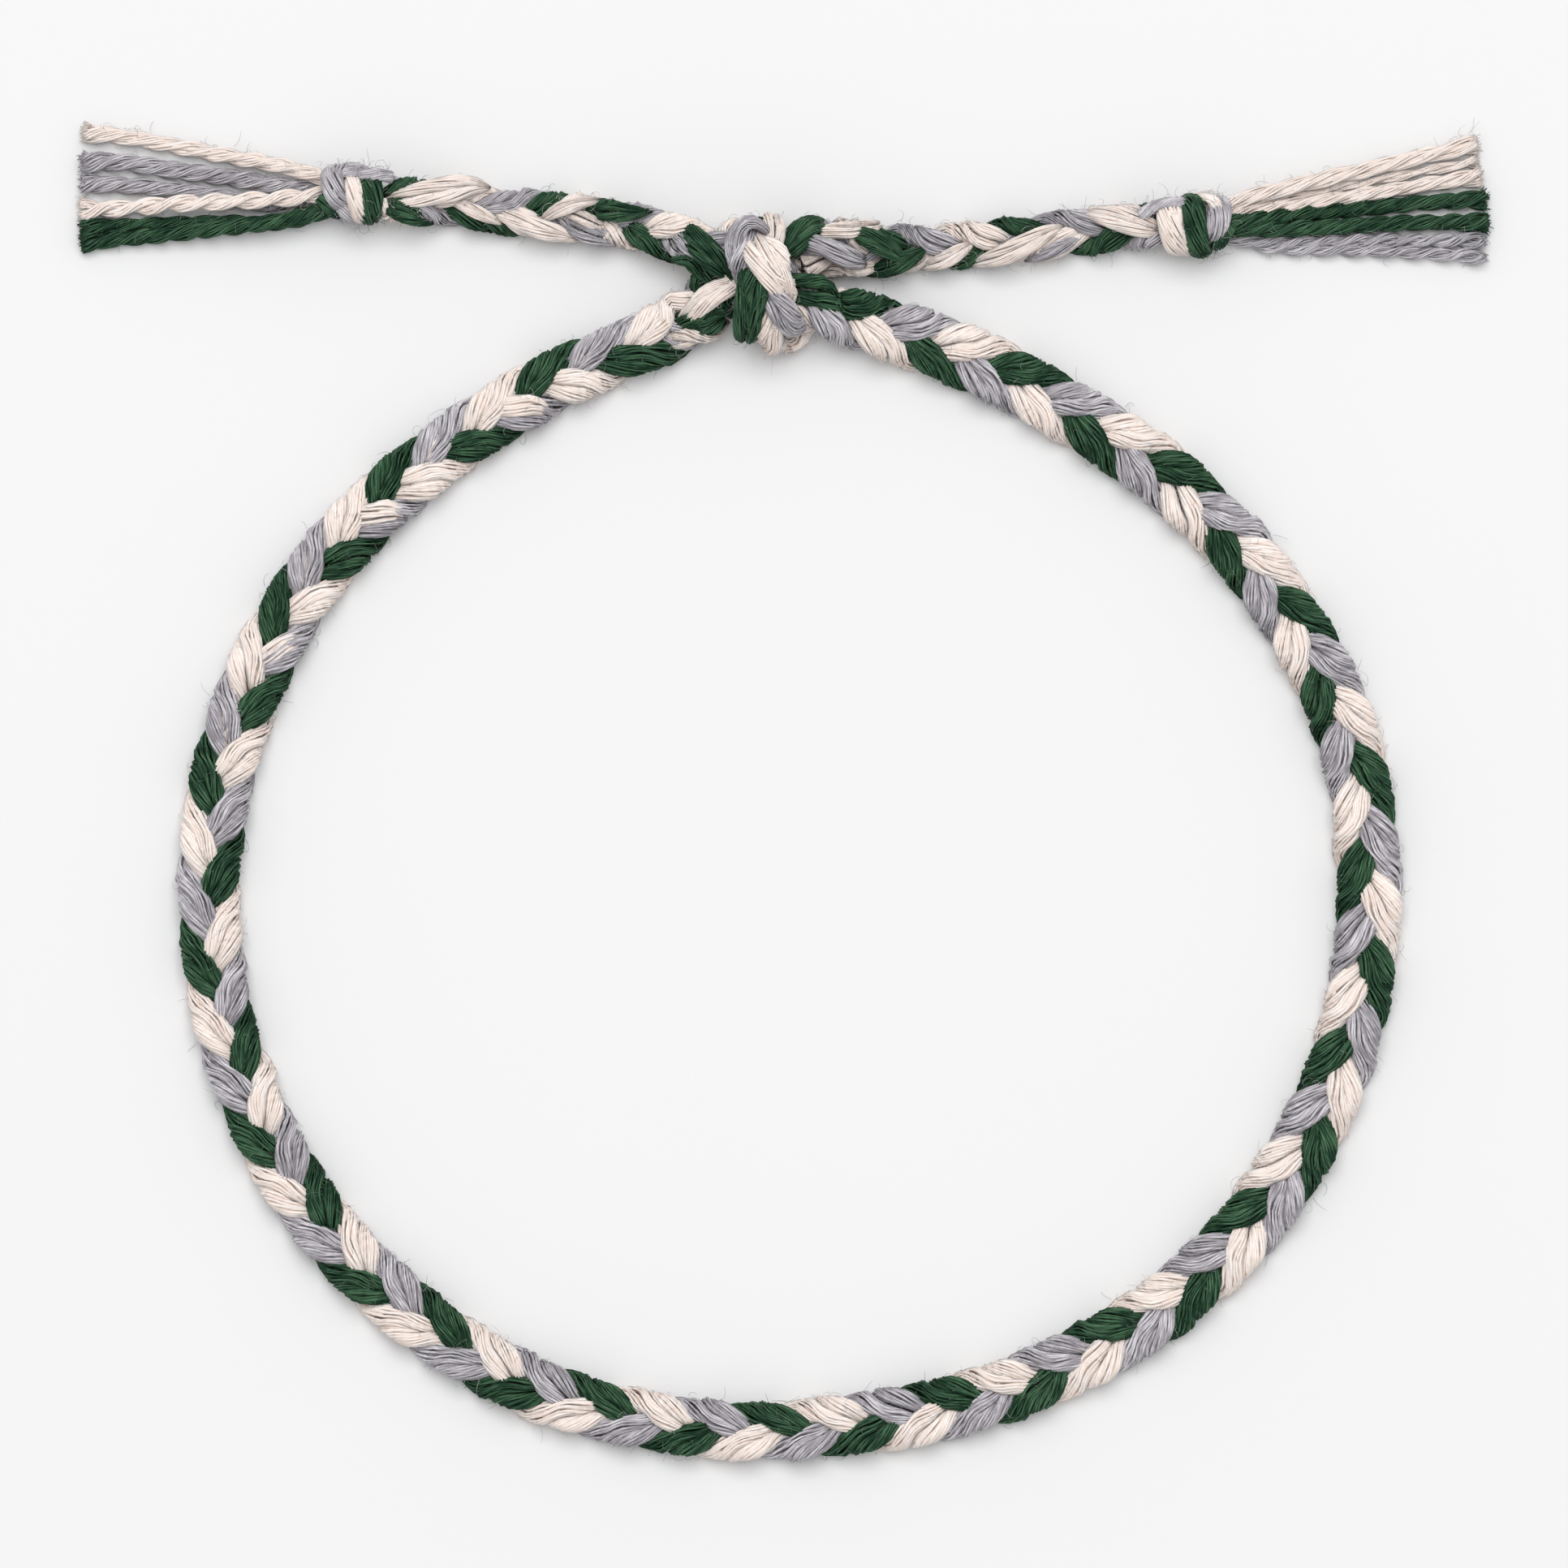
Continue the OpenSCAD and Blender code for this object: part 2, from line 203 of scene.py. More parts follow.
# A share that grows with amount, from the first of a pair by the second
def grownShare(pair, amount):
    return pair[0] + pair[1] * amount


# Places beside and above the braid's middle, turned round it
def turned(q, angle):
    c, s = np.cos(angle), np.sin(angle)
    return np.stack([q[:, 0] * c - q[:, 1] * s, q[:, 0] * s + q[:, 1] * c], 1)


# Directions across and out of a line
def axes(line, flat):
    along = unit(np.gradient(line, axis=0))
    up = unit(flat - along * np.sum(flat * along, axis=1, keepdims=True))
    return np.cross(up, along), up


def lengthAlong(line):
    return np.concatenate([[0], np.cumsum(np.linalg.norm(np.diff(line, axis=0), axis=1))])


# Rows of a path at even steps of its length
def evenly(line, step, *more):
    length = lengthAlong(line)
    at = np.linspace(0, length[-1], max(4, int(length[-1] / step)))

    def pick(v):
        if v.ndim == 1:
            return np.interp(at, length, v)
        return np.stack([np.interp(at, length, v[:, c]) for c in range(v.shape[1])], 1)

    return [at, pick(line)] + [pick(v) for v in more]


# Slow random waves along a yarn
def waves(at, lengths):
    total = 0
    for length in lengths:
        stretched = length * rng.uniform(*waveStretch)
        total = total + np.sin(2 * math.pi * at / stretched + rng.uniform(*anyAngle))
    return total / len(lengths)


def loopPoint(row):
    lobe, bearing, radius, width = row
    a = math.radians(bearing)
    x, y = braid["loopCentre"]
    z = braid["thickness"] / 2
    return (lobe, x + radius * math.cos(a), y + radius * math.sin(a), z, 0, 0, 1, width)


# Centre line, flat direction, width and swell of the three strands along the whole braid.
# The columns of swell are how far a strand is on top, how far on edge, the lean of its yarns, the lobe,
# and how far the spare thread would show there
def strandPaths():
    rows = tailIn + [loopPoint(r) for r in loopRows] + tailOut
    n = np.arange(rows[0][0], rows[-1][0] + 1e-6, braid["step"])
    table = smoothRows(rows, n)
    centre, width = table[:, 1:4] + np.array(braid["shift"]), table[:, 7]
    near = braid["tangentStep"]
    along = unit(smoothRows(rows, n + near)[:, 1:4] - smoothRows(rows, n - near)[:, 1:4])
    face = table[:, 4:7]
    face = unit(face - along * np.sum(face * along, axis=1, keepdims=True))
    side = np.cross(face, along)

    sideReach = braid["sideReach"] * width
    stackReach = braid["stackReach"] * np.minimum(1, width + braid["slack"])
    places, rocks, swells = [], [], []
    for turn in (2, 1, 0):
        a = np.radians(braid["lobeAngle"] * (n - turn) + braid["phase"])
        places.append(np.stack([sideReach * np.sin(a), stackReach * np.sin(2 * a)], 1))
        rocks.append(90 - 90 * np.sin(np.radians(90 * np.clip(-np.cos(a) / braid["turnOver"], -1, 1))))
        shown = ease(spare["contrast"] * np.cos(a - spare["showsAt"]) - spare["threshold"])
        swell = [0.5 - 0.5 * np.cos(4 * a), np.sin(a) ** 4, np.sin(a - math.pi / 4), n, shown]
        swells.append(np.stack(swell, 1))
    for lobe, one, other, halfTurn in swaps:
        e = ease((n - lobe) / braid["swapLength"] + 0.5)
        angle = np.radians(halfTurn * e)
        middle = (places[one] + places[other]) / 2
        for k in (one, other):
            places[k] = middle + turned(places[k] - middle, angle)
        for kept, share in ((rocks, e), (swells, e[:, None])):
            first, second = kept[one], kept[other]
            kept[one] = first * (1 - share) + second * share
            kept[other] = second * (1 - share) + first * share
    paths = []
    for place, rock, swell in zip(places, rocks, swells):
        line = centre + side * place[:, :1] + face * place[:, 1:]
        tilt = np.radians(rock)[:, None]
        flat = face * np.cos(tilt) - side * np.sin(tilt)
        paths.append((line, flat, width, swell))
    return paths


# Every yarn and fibre is a closed tube. Its side that faces inwards gets a lower value, where the shader paints
# shade between the yarns
tube = {
    "lowest": 0.01,
    "outOfShadeMiddle": 0.65,
    "outOfShadeSwing": 0.35,
}


# Mesh data of many tubes, gathered before it becomes one object
class Yarn:
    def __init__(self):
        self.points, self.faces, self.uvs, self.tones, self.count = [], [], [], [], 0

    # One tube: centres, outward direction, radius, number of sides, a tone for its colour, its lane in the UV map,
    # and how much its surface is lifted out of the painted shade between yarns
    def tube(self, centres, outward, radius, sides, tone, lane, shown=1.0):
        rings = len(centres)
        across, out = axes(centres, outward)
        a = np.linspace(0, 2 * math.pi, sides, endpoint=False)
        around = out[:, None] * np.cos(a)[None, :, None] - across[:, None] * np.sin(a)[None, :, None]
        points = (centres[:, None] + around * np.reshape(radius, (-1, 1, 1))).reshape(-1, 3)
        points[:, 2] = np.maximum(points[:, 2], tube["lowest"])
        self.points.append(points)
        self.addFaces(rings, sides, lane, lengthAlong(centres))
        # Low on the inward side of the tube: the shader paints shade there
        outOfShade = (np.cos(a) * tube["outOfShadeSwing"] + tube["outOfShadeMiddle"]) * shown
        self.tones.append(np.stack([np.full(rings * sides, tone), np.tile(outOfShade, rings)], 1))
        self.count += rings * sides

    # Quads from ring to ring and a cap at each end, with their places in the UV map
    def addFaces(self, rings, sides, lane, length):
        i, j = np.meshgrid(np.arange(rings - 1), np.arange(sides), indexing="ij")
        k = (j + 1) % sides
        quads = np.stack([i * sides + j, i * sides + k, (i + 1) * sides + k, (i + 1) * sides + j], -1)
        self.faces.extend((quads.reshape(-1, 4) + self.count).tolist())
        self.faces.append([self.count + n for n in range(sides - 1, -1, -1)])
        self.faces.append([self.count + (rings - 1) * sides + n for n in range(sides)])
        u0, u1 = j / sides + lane, (j + 1) / sides + lane
        quadUv = np.stack([u0, length[i], u1, length[i], u1, length[i + 1], u0, length[i + 1]], -1)
        self.uvs.append(quadUv.reshape(-1, 2))
        self.uvs.append(np.tile([lane, 0.0], (sides, 1)))
        self.uvs.append(np.tile([lane, length[-1]], (sides, 1)))

    def build(self, name, material, slot):
        mesh = bpy.data.meshes.new(name)
        mesh.from_pydata((np.concatenate(self.points) * mm).tolist(), [], self.faces)
        mesh.uv_layers.new(name="threadUv")
        uvs = np.concatenate(self.uvs).astype(np.float32)
        mesh.uv_layers["threadUv"].data.foreach_set("uv", uvs.ravel())
        tones = np.concatenate(self.tones).astype(np.float32)
        # plyTone is each yarn's own tone; the second value says where shade is painted
        for column, key in enumerate(("plyTone", "plyOutOfShade")):
            layer = mesh.attributes.new(key, "FLOAT", "POINT")
            layer.data.foreach_set("value", tones[:, column].copy())
        mesh.shade_smooth()
        mesh.materials.append(material)
        obj = bpy.data.objects.new(name, mesh)
        bpy.context.scene.collection.objects.link(obj)
        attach(obj, "root")
        return obj


# The core fills a ring of yarns, so that no light comes through between them; it is painted darker, as shade
# inside the strand. Waves are in millimetres
ring = {
    "sides": 3,
    "jitter": 0.22,
    "inset": 0.8,
    "wanderWaves": (5.5, 9.0, 17.0),
    "lift": 0.05,
    "liftWaves": (3.0, 7.0),
    "bulge": 0.12,
    "bulgeWaves": (2.2, 4.0),
    "coreSides": 4,
    # The core's tone and its lift out of shade paint it darker, as shade inside the strand
    "coreShadedTone": -0.3,
    "coreLane": 50.0,
    "coreOutOfShade": 0.85,
}


# An oval ring of yarns round a line. turn leans the yarns, wander lets them cross, seam draws them to one side
def addRing(yarn, at, line, across, up, half, depth, radius, count, turn, wander=0.2, seam=0.0, core=0.76):
    orbits = []
    coreRadius = np.minimum(half, depth) * core
    yarn.tube(line, up, coreRadius, ring["coreSides"], ring["coreShadedTone"], ring["coreLane"], ring["coreOutOfShade"])
    for j in range(count):
        start = 2 * math.pi * (j + rng.uniform(-ring["jitter"], ring["jitter"])) / count
        angle = start + turn + wander * waves(at, ring["wanderWaves"])
        c, n = np.cos(angle), np.sin(angle)
        x = (half - radius * ring["inset"]) * (c - seam * n * n)
        y = (depth - radius) * n * (1 + ring["lift"] * waves(at, ring["liftWaves"]))
        out = unit(across * (c / half)[:, None] + up * (n / depth)[:, None])
        size = radius * (1 + ring["bulge"] * waves(at, ring["bulgeWaves"]))
        place = line + across * x[:, None] + up * y[:, None]
        yarn.tube(place, out, size, ring["sides"], rng.uniform(-1, 1), float(j))
        orbits.append((place, out, size))
    return orbits


bundle = {
    "yarns": 16,
    "halfWidth": {"middle": 0.81, "edge": 0.76, "top": 0.99},  # between the two, on edge, and on top
    "halfDepth": {"middle": 0.60, "edge": 0.76, "top": 0.55},
    "yarnRadius": 0.13,
    "closeness": 0.94,
    "drift": 0.10,
    "driftWaves": (13.0, 21.0),
    "rise": 0.10,
    "riseWaves": (11.0, 19.0),
    "chevron": 1.25,
    "twistLength": 60.0,
    "seam": 0.22,
    "ringStep": 0.375,
}


# A strand: two threads side by side, each a ring of yarns. It is widest where it crosses the top,
# and there its yarns lean towards the middle, which gives the chevrons
def addBundle(yarn, fullness, line, flat, width, swell):
    at, line, flat, width, swell = evenly(line, bundle["ringStep"], flat, width, swell)
    width = width * fullness
    across, up = axes(line, flat)
    top, edge, lean = swell.T[:3]
    sizes = []
    for key in ("halfWidth", "halfDepth"):
        size = bundle[key]
        sizes.append((size["middle"] * (1 - edge) + size["edge"] * edge) * (1 - top) + size["top"] * top)
    half, depth = 0.5 * sizes[0] * width, sizes[1] * np.minimum(1, width + braid["slack"])
    turn = 2 * math.pi * at / bundle["twistLength"] + bundle["chevron"] * lean
    radius = bundle["yarnRadius"] * width
    yarns, seam = bundle["yarns"], bundle["seam"]
    orbits = []
    for side in (1, -1):
        aside = side * half * bundle["closeness"] + bundle["drift"] * waves(at, bundle["driftWaves"])
        rise = bundle["rise"] * waves(at, bundle["riseWaves"])
        middle = line + across * aside[:, None] + up * rise[:, None]
        orbits += addRing(yarn, at, middle, across * side, up, half, depth, radius, yarns, turn, seam=seam)
    return orbits


def addSpare(yarn, line, flat, width, swell):
    first, last = spare["lobes"]
    kept = (swell[:, 3] >= first) & (swell[:, 3] <= last)
    at, way, out, size, shape = evenly(line[kept], bundle["ringStep"], flat[kept], width[kept], swell[kept, 3:])
    lobe = shape[:, 0]
    shown = shape[:, 1] * grownShare(spare["grownShares"], ease((lobe - first) / spare["growing"]))
    across, up = axes(way, out)
    middle = way + across * (spare["aside"] * shown * size)[:, None] + up * (spare["rise"] * shown * size)[:, None]
    half = spare["halfWidth"] * size * grownShare(spare["widthShares"], shown)
    depth = spare["halfDepth"] * size * grownShare(spare["depthShares"], shown)
    turn = 2 * math.pi * at / bundle["twistLength"] + bundle["chevron"] * np.sin(lobe)
    return addRing(yarn, at, middle, across, up, half, depth, bundle["yarnRadius"] * size, spare["yarns"], turn)


# Turns of thread that lie over the braid, at the middle knot and along both tails.
# For each place and colour: width, points
turns = {
    "knot": {
        "green": [
            (0.86, [
                (-1.7, 29.2, 3.6), (-1.65, 28.5, 4.3), (-1.75, 27.3, 4.6), (-1.95, 26.0, 4.2),
                (-2.1, 25.0, 3.1), (-2.1, 24.9, 1.9),
            ]),
            (0.84, [
                (2.3, 31.0, 1.0), (1.75, 31.0, 2.2), (1.15, 30.75, 3.0), (0.65, 30.3, 3.2),
                (0.15, 29.7, 3.0), (-0.3, 29.1, 2.2),
            ]),
            (0.55, [
                (-3.5, 28.2, 1.6), (-4.0, 28.65, 2.0), (-4.55, 28.45, 2.1), (-4.8, 27.8, 2.0),
                (-4.6, 27.2, 1.8), (-4.2, 26.8, 1.3),
            ]),
            (0.78, [
                (-5.7, 30.9, 2.0), (-5.1, 30.45, 3.2), (-4.45, 29.8, 3.9), (-3.8, 29.15, 4.0),
                (-3.2, 28.55, 3.6), (-2.7, 28.1, 2.8),
            ]),
            (0.66, [
                (-5.7, 25.4, 1.2), (-5.0, 25.6, 2.0), (-4.2, 25.65, 2.5), (-3.5, 26.0, 2.6),
                (-2.8, 26.5, 2.0),
            ]),
        ],
        "grey": [
            (0.60, [
                (-0.9, 30.35, 3.5), (-1.25, 31.0, 4.3), (-1.95, 31.2, 4.6), (-2.55, 30.65, 4.5),
                (-2.75, 29.8, 4.4), (-2.65, 29.0, 4.3), (-2.35, 28.3, 4.0),
            ]),
            (0.86, [
                (0.6, 29.5, 1.2), (1.2, 29.9, 2.3), (2.0, 29.95, 2.9), (2.8, 29.65, 3.0),
                (3.6, 29.3, 2.6), (4.4, 29.05, 1.6),
            ]),
            (0.36, [(-0.1, 29.4, 1.6), (0.3, 29.05, 2.4), (0.5, 28.6, 2.5), (0.55, 28.0, 1.8)]),
        ],
        "ecru": [
            (0.78, [
                (-5.6, 25.7, 1.6), (-5.0, 26.25, 2.6), (-4.35, 26.85, 3.2), (-3.65, 27.35, 3.4),
                (-2.95, 27.65, 3.2), (-2.2, 27.8, 2.4),
            ]),
            (0.58, [
                (-0.9, 31.0, 0.9), (-0.7, 31.5, 2.2), (-0.55, 31.1, 3.3), (-0.5, 30.4, 3.8),
                (-0.65, 29.7, 3.8), (-0.9, 29.0, 3.2),
            ]),
            (0.92, [
                (-1.95, 30.7, 3.4), (-1.65, 30.0, 4.3), (-1.15, 29.2, 4.9), (-0.55, 28.4, 4.9),
                (-0.1, 27.6, 4.5), (0.15, 26.8, 3.6),
            ]),
            (0.66, [
                (-6.6, 24.5, 0.9), (-5.9, 24.8, 1.5), (-5.2, 24.95, 1.9), (-4.5, 25.0, 1.8),
                (-3.8, 25.3, 1.4), (-3.1, 25.9, 1.0),
            ]),
            (0.56, [
                (0.9, 29.9, 1.2), (1.6, 30.4, 2.0), (2.4, 30.7, 2.3), (3.3, 30.8, 2.3),
                (4.2, 30.95, 2.0), (5.3, 31.1, 1.2),
            ]),
            (0.64, [
                (0.0, 28.2, 1.2), (0.6, 28.5, 1.9), (1.2, 28.8, 2.2), (1.8, 29.1, 2.1),
                (2.6, 29.5, 1.4),
            ]),
            (0.50, [
                (1.6, 28.5, 0.8), (2.5, 28.6, 1.3), (3.4, 28.65, 1.6), (4.4, 28.8, 1.4),
                (5.4, 29.2, 0.9),
            ]),
        ],
    },
    "tails": {
        "green": [
            (0.64, [
                (3.5, 30.7, 1.4), (4.3, 30.5, 2.3), (5.2, 30.05, 2.6), (6.0, 29.55, 2.4),
                (6.8, 29.0, 1.5),
            ]),
            (0.58, [
                (4.5, 28.4, 0.8), (5.4, 28.65, 1.4), (6.3, 29.0, 1.9), (7.1, 29.4, 2.0),
                (7.8, 29.9, 1.3),
            ]),
            (0.60, [
                (-22.2, 32.35, 1.8), (-21.4, 32.0, 2.3), (-20.6, 31.7, 2.2), (-19.8, 31.45, 1.8),
                (-19.0, 31.3, 0.9),
            ]),
            (0.52, [
                (-10.8, 31.7, 1.1), (-9.9, 31.8, 1.9), (-9.0, 31.8, 2.3), (-8.2, 31.75, 2.5),
                (-7.2, 31.8, 2.0),
            ]),
        ],
        "grey": [
            (0.46, [
                (13.2, 29.1, 0.8), (14.0, 29.35, 1.4), (14.8, 29.7, 1.7), (15.6, 30.05, 1.7),
                (16.4, 30.4, 1.2),
            ]),
            (0.52, [
                (-12.5, 31.5, 1.0), (-11.5, 31.0, 1.6), (-10.6, 30.6, 1.8), (-9.8, 30.35, 1.5),
                (-9.0, 30.15, 0.9),
            ]),
        ],
        "ecru": [
            (0.50, [
                (7.5, 28.8, 0.8), (8.3, 29.0, 1.4), (9.0, 29.3, 1.7), (9.7, 29.7, 1.7),
                (10.4, 30.2, 1.1),
            ]),
            (0.62, [
                (10.3, 29.0, 0.9), (11.3, 29.2, 1.5), (12.4, 29.55, 1.9), (13.4, 30.05, 2.1),
                (14.4, 30.6, 1.9), (15.3, 31.0, 1.2),
            ]),
            (0.74, [
                (16.3, 31.8, 1.0), (17.2, 31.65, 1.8), (18.2, 31.4, 2.3), (19.2, 31.1, 2.4),
                (20.2, 30.85, 2.0), (21.0, 30.7, 1.3),
            ]),
            (0.76, [
                (-21.9, 32.45, 1.6), (-20.7, 32.6, 2.2), (-19.3, 32.85, 2.3), (-18.0, 33.1, 2.1),
                (-17.0, 33.25, 1.8), (-16.1, 33.15, 1.0),
            ]),
            (0.44, [
                (-18.6, 32.5, 1.0), (-17.7, 32.2, 1.6), (-16.9, 31.8, 1.8), (-16.1, 31.45, 1.7),
                (-15.3, 31.1, 1.1),
            ]),
            (0.68, [
                (-16.5, 32.0, 0.8), (-15.3, 31.6, 1.5), (-14.1, 31.15, 1.8), (-13.0, 30.8, 1.7),
                (-12.0, 30.55, 1.4), (-11.0, 30.4, 0.8),
            ]),
            (0.36, [
                (-12.3, 31.9, 1.3), (-11.6, 31.75, 1.8), (-10.9, 31.5, 2.0), (-10.2, 31.15, 1.8),
                (-9.6, 30.8, 1.2),
            ]),
            (0.46, [
                (-13.4, 31.2, 1.1), (-12.6, 31.75, 1.9), (-11.8, 32.1, 2.2), (-11.0, 32.35, 2.0),
                (-9.9, 32.5, 1.1),
            ]),
        ],
    },
}

# A taper is how a turn narrows towards its ends: the angle it starts at, and a power
turnShape = {
    "steps": 40,
    "lean": 0.7,
    "knotMiddle": (-1.6, 27.6, 1.2),
    "tapers": {"knot": (0.2, 0.5), "tails": (0.08, 0.7)},
}


def addTurn(yarn, place, width, points):
    steps, lean = turnShape["steps"], turnShape["lean"]
    line = curve(points, steps) + np.array(braid["shift"])
    flat = np.tile([0.0, 0.0, 1.0], (steps, 1))
    if place == "knot":
        flat = unit(line - turnShape["knotMiddle"])
    swell = np.zeros((steps, 5))
    swell[:, 0] = 1
    swell[:, 2] = np.linspace(-lean, lean, steps)
    start, power = turnShape["tapers"][place]
    taper = np.sin(np.linspace(start, math.pi - start, steps)) ** power
    return addBundle(yarn, 1.0, line, flat, width * taper, swell)


rope = {
    "points": 60,
    "plyShare": {2: 0.52, 3: 0.50},
    "openShares": (0.6, 0.4),
    "wobble": 0.15,
    "wobbleWaves": (6.0, 11.0),
    "yarns": 7,
    "yarnShare": 0.40,
    "yarnPitch": 1.6,
    "wander": 0.25,
    "core": 0.7,
    "ringStep": 0.22,
    "hand": -1,
    "frayStart": 0.86,
    "frayLength": 0.14,
    "fray": 0.5,
    "frayPower": 1.5,
}


# A loose thread: plies wound round each other, each ply a ring of fine yarns; it opens out where spread is above 1
def addRope(yarn, line, radius, plies, pitch, spread):
    up = np.tile([0.0, 0.0, 1.0], (len(line), 1))
    at, line, up, spread = evenly(line, rope["ringStep"], up, spread)
    across, up = axes(line, up)
    plyRadius = radius * rope["plyShare"][plies]
    orbit = (radius - plyRadius) * spread
    wound = rope["hand"] * 2 * math.pi * at
    start = rng.uniform(*anyAngle)
    orbits = []
    for ply in range(plies):
        wobble = rope["wobble"] * waves(at, rope["wobbleWaves"])
        angle = start + 2 * math.pi * ply / plies + wound / pitch + wobble
        out = across * np.cos(angle)[:, None] + up * np.sin(angle)[:, None]
        middle = line + out * orbit[:, None]
        plyAcross, plyUp = axes(middle, up)
        size = np.full(len(at), plyRadius) * grownShare(rope["openShares"], spread)
        yarnRadius = np.full(len(at), plyRadius * rope["yarnShare"])
        turn = wound / (pitch * rope["yarnPitch"]) + rng.uniform(*anyAngle)
        orbits += addRing(
            yarn, at, middle, plyAcross, plyUp, size, size, yarnRadius, rope["yarns"], turn,
            wander=rope["wander"], core=rope["core"],
        )
    return orbits


# Loose fibres and those of the cut ends; flat is one direction for all, so that the thin tubes don't twist
fibre = {
    "sides": 3,
    "flat": (0.13, 0.31, 0.94),
    "lowest": 0.03,
    "lanes": 97,
}

# below and above give the height of a surface's direction, and the share of hairs that is left out past it
hair = {
    "points": 6,
    "radius": 0.014,
    "taper": 0.5,
    "length": (0.5, 1.6),
    "shorter": (0.4, 1),
    "lift": (0.3, 1.2),
    "spread": 0.3,
    "turn": (20, 260),
    "root": 0.8,
    "tone": (0.2, 1),
    "below": (-0.35, 0.8),
    "above": (0.6, 0.4),
    "counts": {"strand": 1350, "spare": 300, "turn": 25, "rope": 60, "wrap": 45},
}


# A tube for a fibre, kept above the floor
def addFibre(yarn, path, size, tone, shown=1.0):
    path[:, 2] = np.maximum(path[:, 2], fibre["lowest"])
    flat = np.tile(fibre["flat"], (len(path), 1))
    yarn.tube(path, flat, size, fibre["sides"], rng.uniform(*tone), rng.integers(fibre["lanes"]), shown)


# Loose fibres that stand off a thread's surface, most of them where they show; they curl back as they go
def addHairs(yarn, orbits, kind):
    (low, lowShare), (high, highShare) = hair["below"], hair["above"]
    steps = hair["points"]
    t = np.linspace(0, 1, steps)
    made = 0
    while made < hair["counts"][kind]:
        line, out, radius = orbits[rng.integers(len(orbits))]
        i = rng.integers(1, len(line) - 1)
        facing = out[i, 2]
        if (facing < low and rng.random() < lowShare) or (facing > high and rng.random() < highShare):
            continue
        made += 1
        ahead = unit(line[i + 1] - line[i - 1]) * rng.choice((-1, 1))
        away = unit(out[i] * rng.uniform(*hair["lift"]) + ahead + rng.normal(0, hair["spread"], 3))
        side = unit(np.cross(away, rng.normal(0, 1, 3)))
        angle = np.radians(rng.uniform(*hair["turn"])) * t
        heading = away * np.cos(angle)[:, None] + side * np.sin(angle)[:, None]
        length = rng.uniform(*hair["length"]) * rng.uniform(*hair["shorter"])
        path = line[i] + out[i] * radius[i] * hair["root"] + np.cumsum(heading, axis=0) * length / steps
        addFibre(yarn, path, hair["radius"] * (1 - hair["taper"] * t), hair["tone"])


tuft = {
    "fibres": 3,
    "points": 4,
    "radius": 0.045,
    "taper": 0.6,
    "rootSpread": 0.05,
    "rootDepth": 0.3,
    "opening": (0.1, 0.5),
    "spread": 0.1,
    "bend": 0.08,
    "length": (0.3, 0.5),
    "tone": (-0.5, 1),
    # How far the tuft's fibres are lifted out of the painted shade between yarns
    "shown": 1.7,
}


# Fibres of a cut end, a short tuft that opens a little
def addTuft(yarn, orbits):
    t = np.linspace(0, 1, tuft["points"])[:, None]
    size = tuft["radius"] * (1 - tuft["taper"] * t[:, 0])
    middle = np.mean([line[-1] for line, out, radius in orbits], axis=0)
    for line, out, radius in orbits:
        ahead = unit(line[-1] - line[-3])
        for _ in range(tuft["fibres"]):
            root = line[-1] + rng.normal(0, tuft["rootSpread"], 3) - ahead * tuft["rootDepth"]
            opening = (root - middle) * rng.uniform(*tuft["opening"])
            away = unit(ahead + opening + rng.normal(0, tuft["spread"], 3))
            path = root + (away * t + rng.normal(0, tuft["bend"], 3) * t**2) * rng.uniform(*tuft["length"])
            addFibre(yarn, path, size, tuft["tone"], tuft["shown"])


# A socket that holds a number, wrapped so that sums of nodes can be written as sums
class Value:
    def __init__(self, tree, socket):
        self.tree, self.socket = tree, socket

    def math(self, operation, other, swap=False):
        items = [other, self] if swap else [self, other]
        return self.tree.node("ShaderNodeMath", {"operation": operation}, dict(enumerate(items)))

    def __add__(self, other):
        return self.math("ADD", other)

    __radd__ = __add__

    def __sub__(self, other):
        return self.math("SUBTRACT", other)

    def __rsub__(self, other):
        return self.math("SUBTRACT", other, True)

    def __mul__(self, other):
        return self.math("MULTIPLY", other)

    __rmul__ = __mul__

    def __pow__(self, other):
        return self.math("POWER", other)

    def __rpow__(self, other):
        return self.math("POWER", other, True)


class Shader:
    def __init__(self, name):
        self.material = bpy.data.materials.new(name)
        self.material.use_nodes = True
        self.nodes = self.material.node_tree.nodes
        self.links = self.material.node_tree.links
        self.principled = self.nodes["Principled BSDF"]

    # Adds a node; inputs are numbers, colours or values of other nodes
    def node(self, kind, settings=None, inputs=None, output=0):
        made = self.nodes.new(kind)
        for key, value in (settings or {}).items():
            setattr(made, key, value)
        self.fill(made, inputs or {})
        return Value(self, made.outputs[output])

    def fill(self, made, inputs):
        for key, value in inputs.items():
            if isinstance(value, Value):
                self.links.new(value.socket, made.inputs[key])
            else:
                made.inputs[key].default_value = value

    def mix(self, share, one, other):
        return self.node("ShaderNodeMix", {"data_type": "RGBA"}, {0: share, 6: one, 7: other}, 2)

    def clamp(self, value):
        return self.node("ShaderNodeClamp", {}, {0: value})

    def finish(self, **inputs):
        self.fill(self.principled, {key.replace("_", " "): value for key, value in inputs.items()})
        return self.material


